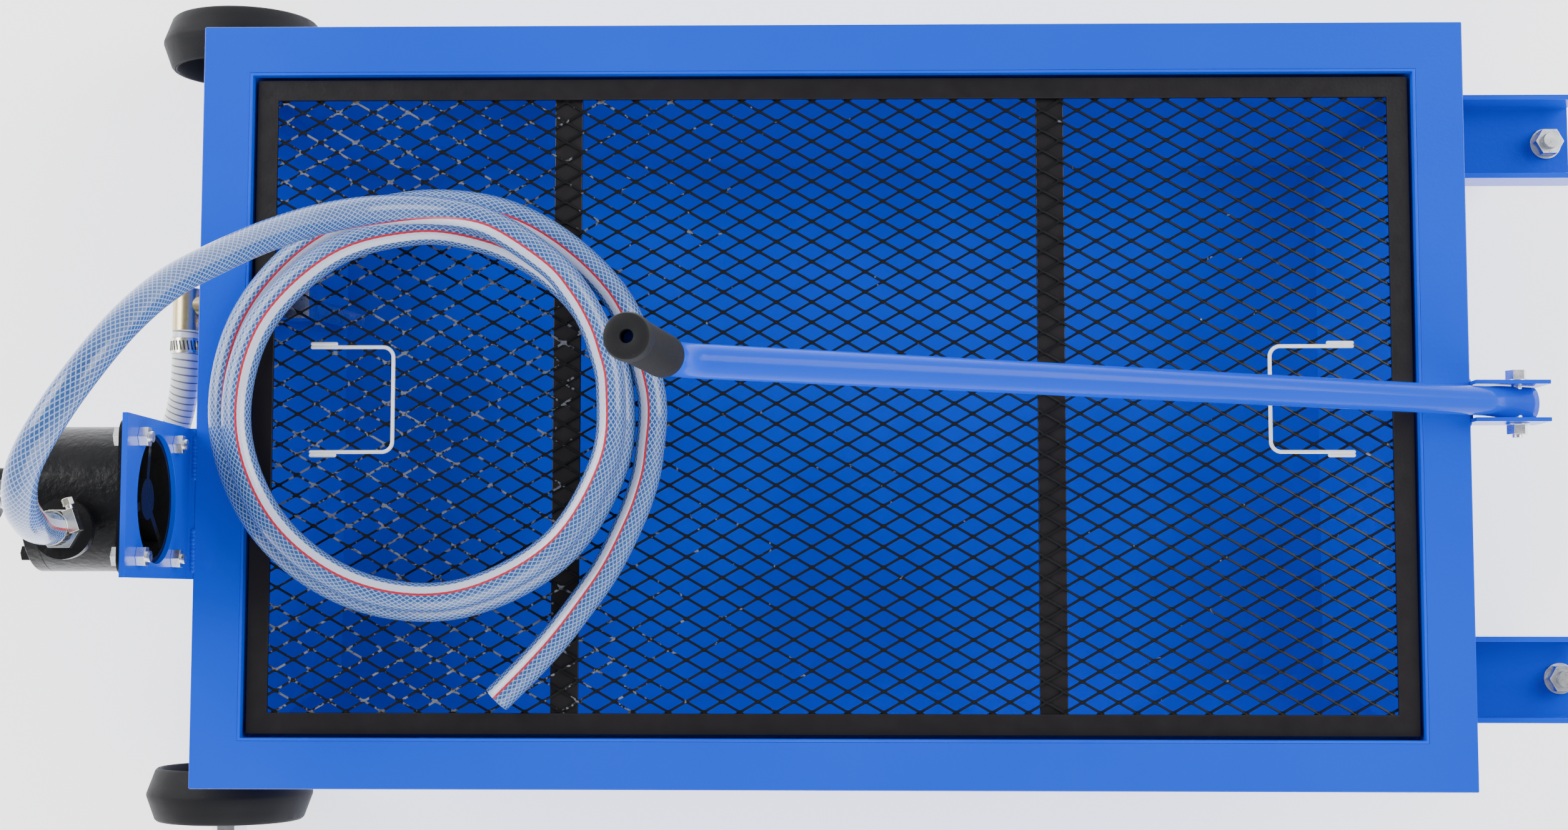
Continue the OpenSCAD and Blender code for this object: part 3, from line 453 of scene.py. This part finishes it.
weld_bead("weld_foot_top_a", (-480.5, -128, -0.6), (-480.5, -96, -0.6))
weld_bead("weld_foot_top_b", (-480.5, -58, -0.6), (-480.5, -26, -0.6))
for s, side in ((1, "back"), (-1, "front")):
    weld_bead(f"weld_arm_{side}_a", (480.5, s * 208 - 32, -30), (480.5, s * 208 - 32, -62))
    weld_bead(f"weld_arm_{side}_b", (480.5, s * 208 + 32, -30), (480.5, s * 208 + 32, -62))
    weld_bead(f"weld_arm_{side}_web", (480.5, s * 208 - 28, -61.5), (480.5, s * 208 + 28, -61.5))
    weld_bead(f"weld_clevis_{side}", (480.5, s * 16, -26), (480.5, s * 16, -4))

# ---- Grille ----
# A drop-in frame of black steel angle with two crossbars, and a sheet of expanded steel with
# 27 by 15.5 mm diamonds welded under it. The satin black paint is rubbed through by use.
scuffs = bpy.data.node_groups.new("scuffs", "ShaderNodeTree")
scuffs.interface.new_socket("Amount", in_out="INPUT", socket_type="NodeSocketFloat")
scuffs.interface.new_socket("Mask", in_out="OUTPUT", socket_type="NodeSocketFloat")
given = scuffs.nodes.new("NodeGroupInput")
result = scuffs.nodes.new("NodeGroupOutput")
fine = noise(scuffs, 60, 4, 0.7, stretch=(0.5, 6, 3), seed=1)
cross = noise(scuffs, 60, 4, 0.7, stretch=(5, 0.6, 3), seed=2)
patches = noise(scuffs, 9, 3, 0.6, seed=3)
limit = math_node(scuffs, "SUBTRACT", 0.80, given.outputs["Amount"])
lines = math_node(scuffs, "GREATER_THAN", math_node(scuffs, "MAXIMUM", fine, cross), limit)
worn = soft_step(scuffs, patches, 0.5, 0.62)
scuffs.links.new(math_node(scuffs, "MULTIPLY", lines, worn), result.inputs["Mask"])

black_satin, tree, shader = finish("black_satin", Coat_Weight=0.05, Coat_Roughness=0.3,
                                   Specular_IOR_Level=0.25)
group = tree.nodes.new("ShaderNodeGroup")
group.node_tree = scuffs
group.inputs["Amount"].default_value = 0.02
worn = group.outputs["Mask"]
paint = blend(tree, noise(tree, 30, 4), (0.007, 0.006, 0.007), (0.014, 0.012, 0.013))
set_colour(tree, shader, blend(tree, worn, paint, (0.20, 0.20, 0.22)))
set_roughness(tree, shader, noise(tree, 90, 4), 0.25, 0.24)
tree.links.new(math_node(tree, "MULTIPLY", worn, 0.6), shader.inputs["Metallic"])
bump(tree, shader, noise(tree, 420, 3), 0.0001)
dress("grille_frame", black_satin, 0.0006, flat=True)
dress("grille_crossbars", black_satin, 0.0005, flat=True)

strand_paint, tree, shader = finish("strand_paint", Specular_IOR_Level=0.3)
# Painted highlight: a lighter metallic colour is painted along the strands towards the pump end, where the
# lamp on that side glints on them, and bare metal shows in few places elsewhere
place = tree.nodes.new("ShaderNodeSeparateXYZ")
tree.links.new(tree.nodes.new("ShaderNodeTexCoord").outputs["Object"], place.inputs[0])
handle_end = soft_step(tree, place.outputs[0], at(-330, 0, 0).x, at(60, 0, 0).x)
pump_end = math_node(tree, "SUBTRACT", 1.0, handle_end)
rub_and_glint = noise(tree, 150, 2, 0.6, seed=7)
# The pump end gets more of this mask, as a painted highlight where the lamp on that side glints on the
# strands
rub_and_glint = math_node(tree, "ADD", rub_and_glint, math_node(tree, "MULTIPLY", pump_end, 0.17))
rub_and_glint = math_node(tree, "ADD", rub_and_glint, math_node(tree, "MULTIPLY", noise(tree, 7, 2), 0.16))
bare_and_glint = soft_step(tree, rub_and_glint, 0.78, 0.86)
set_colour(tree, shader, blend(tree, bare_and_glint, (0.006, 0.006, 0.007), (0.26, 0.27, 0.31)))
tree.links.new(math_node(tree, "MULTIPLY", bare_and_glint, 0.85), shader.inputs["Metallic"])
set_roughness(tree, shader, bare_and_glint, 0.08, 0.26)

mesh_low, mesh_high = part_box("expanded_mesh")
expand = bpy.data.node_groups.new("expanded_steel", "GeometryNodeTree")
for name, kind in (("Diamond Length", "NodeSocketFloat"), ("Diamond Width", "NodeSocketFloat"),
                   ("Strand Width", "NodeSocketFloat"), ("Thickness", "NodeSocketFloat"),
                   ("Columns", "NodeSocketInt"), ("Rows", "NodeSocketInt"),
                   ("Paint", "NodeSocketMaterial")):
    expand.interface.new_socket(name, in_out="INPUT", socket_type=kind)
expand.interface.new_socket("Geometry", in_out="OUTPUT", socket_type="NodeSocketGeometry")
given = expand.nodes.new("NodeGroupInput")
result = expand.nodes.new("NodeGroupOutput")


def geo_math(operation, a, b=0.0):
    return math_node(expand, operation, a, b)


join = expand.nodes.new("GeometryNodeJoinGeometry")
slant = geo_math("ARCTAN2", given.outputs["Diamond Width"], given.outputs["Diamond Length"])
reach = geo_math("MULTIPLY", 0.5, geo_math("SQRT", geo_math(
    "ADD", geo_math("MULTIPLY", given.outputs["Diamond Length"], given.outputs["Diamond Length"]),
    geo_math("MULTIPLY", given.outputs["Diamond Width"], given.outputs["Diamond Width"]))))
# Two rows of strands lean each way, and a short flat bond joins them at each crossing
for step_x, step_y, lean, kind in [(0.25, 0.25, 1, "strand"), (0.75, 0.75, 1, "strand"),
                                   (0.75, 0.25, -1, "strand"), (0.25, 0.75, -1, "strand"),
                                   (0.0, 0.0, 0, "bond"), (0.5, 0.5, 0, "bond")]:
    grid = expand.nodes.new("GeometryNodeMeshGrid")
    expand.links.new(geo_math("MULTIPLY", given.outputs["Diamond Length"],
                              geo_math("SUBTRACT", given.outputs["Columns"], 1)), grid.inputs["Size X"])
    expand.links.new(geo_math("MULTIPLY", given.outputs["Diamond Width"],
                              geo_math("SUBTRACT", given.outputs["Rows"], 1)), grid.inputs["Size Y"])
    expand.links.new(given.outputs["Columns"], grid.inputs["Vertices X"])
    expand.links.new(given.outputs["Rows"], grid.inputs["Vertices Y"])
    shift = expand.nodes.new("ShaderNodeCombineXYZ")
    expand.links.new(geo_math("MULTIPLY", given.outputs["Diamond Length"], step_x - 0.5), shift.inputs[0])
    expand.links.new(geo_math("MULTIPLY", given.outputs["Diamond Width"], step_y - 0.5), shift.inputs[1])
    move = expand.nodes.new("GeometryNodeTransform")
    expand.links.new(grid.outputs["Mesh"], move.inputs["Geometry"])
    expand.links.new(shift.outputs[0], move.inputs["Translation"])
    bar = expand.nodes.new("GeometryNodeMeshCube")
    size = expand.nodes.new("ShaderNodeCombineXYZ")
    if kind == "strand":
        expand.links.new(reach, size.inputs[0])
        expand.links.new(given.outputs["Strand Width"], size.inputs[1])
        expand.links.new(given.outputs["Thickness"], size.inputs[2])
    else:
        expand.links.new(geo_math("MULTIPLY", given.outputs["Diamond Length"], 0.17), size.inputs[0])
        expand.links.new(geo_math("MULTIPLY", given.outputs["Strand Width"], 1.9), size.inputs[1])
        expand.links.new(geo_math("MULTIPLY", given.outputs["Thickness"], 0.98), size.inputs[2])
    expand.links.new(size.outputs[0], bar.inputs["Size"])
    scatter = expand.nodes.new("GeometryNodeInstanceOnPoints")
    expand.links.new(move.outputs["Geometry"], scatter.inputs["Points"])
    expand.links.new(bar.outputs["Mesh"], scatter.inputs["Instance"])
    turn = expand.nodes.new("ShaderNodeCombineXYZ")
    turn.inputs[0].default_value = 0.22 * lean
    expand.links.new(geo_math("MULTIPLY", slant, lean), turn.inputs[2])
    expand.links.new(turn.outputs[0], scatter.inputs["Rotation"])
    expand.links.new(scatter.outputs["Instances"], join.inputs["Geometry"])
real = expand.nodes.new("GeometryNodeRealizeInstances")
paint = expand.nodes.new("GeometryNodeSetMaterial")
expand.links.new(join.outputs["Geometry"], real.inputs["Geometry"])
expand.links.new(real.outputs["Geometry"], paint.inputs["Geometry"])
expand.links.new(given.outputs["Paint"], paint.inputs["Material"])
expand.links.new(paint.outputs["Geometry"], result.inputs["Geometry"])


def grown(name, tree, **values):
    """The plain mesh that a geometry tree makes with the given inputs."""
    holder = bpy.data.objects.new(name + "_holder", bpy.data.meshes.new(name + "_holder"))
    bpy.context.scene.collection.objects.link(holder)
    modifier = holder.modifiers.new("grow", "NODES")
    modifier.node_group = tree
    for socket in tree.interface.items_tree:
        if socket.in_out == "INPUT" and socket.name.replace(" ", "_") in values:
            modifier[socket.identifier] = values[socket.name.replace(" ", "_")]
    made = holder.evaluated_get(bpy.context.evaluated_depsgraph_get())
    mesh = bpy.data.meshes.new_from_object(made)
    holder.modifiers.remove(modifier)
    bpy.data.objects.remove(holder)
    mesh.name = name
    piece = bpy.data.objects.new(name, mesh)
    bpy.context.scene.collection.objects.link(piece)
    return piece


expanded = grown("expanded_steel_sheet", expand, Diamond_Length=0.027, Diamond_Width=0.0155,
                 Strand_Width=0.0016, Thickness=0.0015, Columns=32, Rows=31, Paint=strand_paint)
expanded.data.transform(Matrix.Translation((middle, 0, (mesh_low.z + mesh_high.z) / 2)))
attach(expanded, "tray")
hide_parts("expanded_mesh")

# ---- Lifting bails ----
# Two U-shaped white wires with long flattened eyes. They lie on the mesh.
bright_zinc, tree, shader = finish("bright_zinc", Metallic=1.0, IOR=1.5)
spangle = noise(tree, 160, 4, 0.6)
set_colour(tree, shader, blend(tree, spangle, (0.62, 0.64, 0.66), (0.86, 0.87, 0.88)))
set_roughness(tree, shader, spangle, 0.25, 0.16)
bump(tree, shader, noise(tree, 900, 2), 0.00004)
white_wire, tree, shader = finish("white_wire", Metallic=0.15, Roughness=0.35)
set_colour(tree, shader, blend(tree, noise(tree, 220, 3), (0.74, 0.75, 0.76), (0.92, 0.92, 0.92)))
bump(tree, shader, noise(tree, 700, 2), 0.00004)
dress("bail_left", white_wire, 0)
dress("bail_right", white_wire, 0)

# ---- Wheels and casters ----
# Moulded black rubber wheels with a ridge round the tread turn on a plain zinc axle. Two small
# rubber wheels swivel in pressed zinc forks under the arms at the handle end.
black_rubber, tree, shader = finish("black_rubber", Specular_IOR_Level=0.12)
dust = soft_step(tree, noise(tree, 700, 3, 0.7), 0.64, 0.74)
moulded = blend(tree, noise(tree, 14, 3), (0.008, 0.008, 0.009), (0.016, 0.016, 0.017))
set_colour(tree, shader, blend(tree, math_node(tree, "MULTIPLY", dust, 0.35), moulded, (0.10, 0.10, 0.10)))
set_roughness(tree, shader, noise(tree, 80, 3), 0.2, 0.46)
bump(tree, shader, noise(tree, 900, 3), 0.00015)
for name in ("wheel_back", "wheel_front"):
    dress(name, black_rubber, 0.001, 25)
for name in ("caster_wheel_back", "caster_wheel_front"):
    dress(name, black_rubber, 0.0005, 25)
for name in ("wheel_axle", "wheel_washers", "axle_nuts", "caster_stems", "caster_nuts", "caster_fork_back",
             "caster_fork_front", "caster_axle_back", "caster_axle_front", "mount_bolts", "mount_nuts",
             "pump_shaft", "shaft_nut", "crank_pin", "outlet_barb", "inlet_barb", "handle_bolt",
             "handle_nut", "handle_washers", "pickup_tube"):
    dress(name, bright_zinc, 0.0003)

# ---- Hand pump ----
# A rotary hand pump of cast iron under thick gloss black paint: square flange, round barrel with
# two ports, bolted cover and a gland with its packing nut. The crank hangs down from the shaft.
cast_black, tree, shader = finish("cast_black", Coat_Weight=0.08, Coat_Roughness=0.1,
                                  Specular_IOR_Level=0.12)
set_colour(tree, shader, blend(tree, noise(tree, 26, 4), (0.005, 0.005, 0.006), (0.012, 0.012, 0.012)))
set_roughness(tree, shader, noise(tree, 60, 4), 0.3, 0.14)
grit = noise(tree, 240, 4, 0.6)
lumps = math_node(tree, "MULTIPLY", noise(tree, 60, 2), 1.5)
bump(tree, shader, math_node(tree, "ADD", grit, lumps), 0.0006, 0.8)
for name in ("pump_body", "pump_cover", "crank_arm"):
    dress(name, cast_black, 0.0012)
for name in ("packing_nut", "cover_bolts"):
    dress(name, cast_black, 0.0005)
bare_iron, tree, shader = finish("bare_iron", Metallic=0.9)
set_colour(tree, shader, blend(tree, noise(tree, 90, 4), (0.16, 0.16, 0.17), (0.32, 0.32, 0.33)))
set_roughness(tree, shader, noise(tree, 200, 3, stretch=(8, 1, 1)), 0.3, 0.25)
dress("pump_rotor", bare_iron)
dress("pump_vanes", black_rubber)
dress("crank_grip", black_rubber, 0.0008)

# ---- Hose clamps ----
# Stainless worm-drive bands. Each has a pressed screw housing, and slots run round the band.
band_metal, tree, shader = finish("band_metal", Metallic=1.0)
heat = noise(tree, 55, 3)
tint = blend(tree, heat, (0.74, 0.74, 0.70), (0.80, 0.74, 0.52))
set_colour(tree, shader, tint)
set_roughness(tree, shader, noise(tree, 400, 2), 0.2, 0.14)
for name in ("outlet_clamp", "inlet_clamp", "tank_clamp"):
    dress(name, band_metal, 0.0002)

slots = bpy.data.node_groups.new("band_slots", "GeometryNodeTree")
for name, kind in (("Radius", "NodeSocketFloat"), ("Slot Length", "NodeSocketFloat"),
                   ("Slot Width", "NodeSocketFloat"), ("Count", "NodeSocketInt"),
                   ("Paint", "NodeSocketMaterial")):
    slots.interface.new_socket(name, in_out="INPUT", socket_type=kind)
slots.interface.new_socket("Geometry", in_out="OUTPUT", socket_type="NodeSocketGeometry")
given = slots.nodes.new("NodeGroupInput")
result = slots.nodes.new("NodeGroupOutput")
ring = slots.nodes.new("GeometryNodeMeshCircle")
slots.links.new(given.outputs["Count"], ring.inputs["Vertices"])
slots.links.new(given.outputs["Radius"], ring.inputs["Radius"])
bar = slots.nodes.new("GeometryNodeMeshCube")
size = slots.nodes.new("ShaderNodeCombineXYZ")
size.inputs[0].default_value = 0.0004
slots.links.new(given.outputs["Slot Width"], size.inputs[1])
slots.links.new(given.outputs["Slot Length"], size.inputs[2])
slots.links.new(size.outputs[0], bar.inputs["Size"])
scatter = slots.nodes.new("GeometryNodeInstanceOnPoints")
slots.links.new(ring.outputs["Mesh"], scatter.inputs["Points"])
slots.links.new(bar.outputs["Mesh"], scatter.inputs["Instance"])
index = slots.nodes.new("GeometryNodeInputIndex")
step = math_node(slots, "DIVIDE", 2 * math.pi, given.outputs["Count"])
turn = slots.nodes.new("ShaderNodeCombineXYZ")
turn.inputs[0].default_value = 0.18
slots.links.new(math_node(slots, "MULTIPLY", index.outputs[0], step), turn.inputs[2])
slots.links.new(turn.outputs[0], scatter.inputs["Rotation"])
real = slots.nodes.new("GeometryNodeRealizeInstances")
paint = slots.nodes.new("GeometryNodeSetMaterial")
slots.links.new(scatter.outputs["Instances"], real.inputs["Geometry"])
slots.links.new(real.outputs["Geometry"], paint.inputs["Geometry"])
slots.links.new(given.outputs["Paint"], paint.inputs["Material"])
slots.links.new(paint.outputs["Geometry"], result.inputs["Geometry"])
slot_shade = finish("slot_shade", Base_Color=(0.05, 0.05, 0.05, 1), Metallic=0.6, Roughness=0.5)[0]
for name, place, turn in [("outlet_clamp_slots", at(-530, -100, 164), Matrix.Identity(4)),
                          ("inlet_clamp_slots", at(-530, -53, -2), Matrix.Identity(4)),
                          ("tank_clamp_slots", at(-502, 48, -46), Matrix.Rotation(math.pi / 2, 4, "X"))]:
    piece = grown(name, slots, Radius=0.01205, Slot_Length=0.0075, Slot_Width=0.0011, Count=26,
                  Paint=slot_shade)
    piece.data.transform(Matrix.Translation(place) @ turn)
    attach(piece, "tray")

# ---- Suction hose and tank fitting ----
# A short clear hose stiffened by a steel wire helix joins the pan's yellow-zinc elbow to the
# pump's inlet. It is pushed over both nipples and held by clamps.
suction_line = even([at(*p) for p in curve_through(
    [(-502, 60, -46), (-502, 38, -46), (-504, 18, -50), (-509, -2, -57), (-516, -22, -61),
     (-523, -38, -55), (-528, -49, -38), (-530, -53, -16), (-530, -53, 8)], 8)], 0.003)
suction = tube("wire_hose", suction_line, 0.011, 32)
wire_pvc, tree, shader = finish("wire_pvc", Roughness=0.22, Coat_Weight=0.4, Coat_Roughness=0.1)
run, around = length_and_turn(tree)
turns_per_metre = 190
phase = math_node(tree, "ADD", math_node(tree, "MULTIPLY", run, turns_per_metre), around)
wire = soft_step(tree, off_middle(tree, phase), 0.36, 0.44)
clear = blend(tree, noise(tree, 70, 3), (0.62, 0.64, 0.63), (0.78, 0.79, 0.78))
set_colour(tree, shader, blend(tree, wire, clear, (0.17, 0.18, 0.19)))
bump(tree, shader, wire, 0.0006, 0.6)
suction.data.materials.append(wire_pvc)
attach(suction, "tray")
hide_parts("suction_hose")
yellow_zinc, tree, shader = finish("yellow_zinc", Metallic=1.0)
set_colour(tree, shader, blend(tree, noise(tree, 60, 3), (0.60, 0.55, 0.26), (0.66, 0.50, 0.34)))
set_roughness(tree, shader, noise(tree, 300, 3), 0.2, 0.2)
dress("tank_elbow", yellow_zinc)
dress("elbow_locknut", yellow_zinc)

# ---- Handle ----
# A 22 mm blue tube, flattened at its bolt and bent up at its free end. A moulded black rubber
# sleeve with fine ribs and a small hole in its flanged end is pushed on the bent end.

def turned(name, profile, sides, base, axis):
    """A closed shape turned round an axis from its (radius, height) outline in millimetres."""
    mesh = bmesh.new()
    rings = [[mesh.verts.new((r / 1000 * math.cos(2 * math.pi * k / sides),
                              r / 1000 * math.sin(2 * math.pi * k / sides), h / 1000))
              for k in range(sides)] for r, h in profile]
    for a, b in zip(rings, rings[1:] + rings[:1]):
        for k in range(sides):
            mesh.faces.new((a[k], a[(k + 1) % sides], b[(k + 1) % sides], b[k]))
    for face in mesh.faces:
        face.smooth = True
    bmesh.ops.recalc_face_normals(mesh, faces=mesh.faces)
    mesh.transform(Matrix.Translation(base) @ axis.to_track_quat("Z", "X").to_matrix().to_4x4())
    data = bpy.data.meshes.new(name)
    mesh.to_mesh(data)
    mesh.free()
    piece = bpy.data.objects.new(name, data)
    bpy.context.scene.collection.objects.link(piece)
    return piece


handle_pivot = at(516, 0, -5.66)
lying = Matrix.Translation(handle_pivot) @ Matrix.Rotation(math.radians(27), 4, "Y")
straight_length = 668
bend_radius = 40
bend_degrees = 56
steel_radius = 0.011


def round_bend(degrees):
    """A point of the tube's middle line, in mm from the bolt, that far round the bend."""
    turn = math.radians(degrees)
    return Vector((-straight_length - bend_radius * math.sin(turn), 0, bend_radius * (1 - math.cos(turn))))


past_bend = Vector((-math.cos(math.radians(bend_degrees)), 0, math.sin(math.radians(bend_degrees))))
spine = [Vector((-x, 0, 0)) for x in range(-16, straight_length, 6)]
spine += [round_bend(a) for a in range(0, bend_degrees + 1, 4)]
spine += [spine[-1] + past_bend * d for d in (6, 20, 50, 95)]
steel = tube("handle_steel", [lying @ (p / 1000) for p in spine], steel_radius, 40)
# The tube is pressed into a paddle at its bolt, as wide as the clevis allows
paddle_end = 34
paddle_run_out = 20
paddle_half_width = 0.012
paddle_half_thickness = 0.007
to_flat = lying.inverted()
for v in steel.data.vertices:
    p = to_flat @ v.co
    away = -p.x * 1000
    if away < paddle_end:
        pressed = min(1.0, max(0.0, (paddle_end - away) / paddle_run_out))
        pressed = pressed * pressed * (3 - 2 * pressed)
        p.y *= 1 + pressed * (paddle_half_width / steel_radius - 1)
        p.z *= 1 + pressed * (paddle_half_thickness / steel_radius - 1)
        v.co = lying @ p
steel.data.materials.append(blue_enamel)
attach(steel, "handle")
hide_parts("handle_tube")

outline = [(11.1, 2.2), (12.9, 2.2), (13.6, 3.2), (13.6, 8), (13.0, 9)]
rib_pitch = 2.4
for i in range(34):
    foot = 10 + i * rib_pitch
    outline += [(13.0, foot), (13.5, foot + 0.5), (13.5, foot + 1.3), (13.0, foot + 1.8)]
outline += [(13.0, 93), (13.8, 95), (14.2, 98), (14.2, 104), (13.2, 107.2), (11, 108), (4.6, 108),
            (4, 107.4), (4, 96.4), (11.1, 96.4)]
grip_foot = lying @ (round_bend(bend_degrees) / 1000)
grip = turned("ribbed_grip", outline, 56, grip_foot, lying.to_3x3() @ past_bend)
sharp = grip.modifiers.new("ribs", "BEVEL")
sharp.width = 0.0001
sharp.segments = 1
sharp.angle_limit = math.radians(30)
grip.data.materials.append(black_rubber)
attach(grip, "handle")
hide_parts("handle_grip")
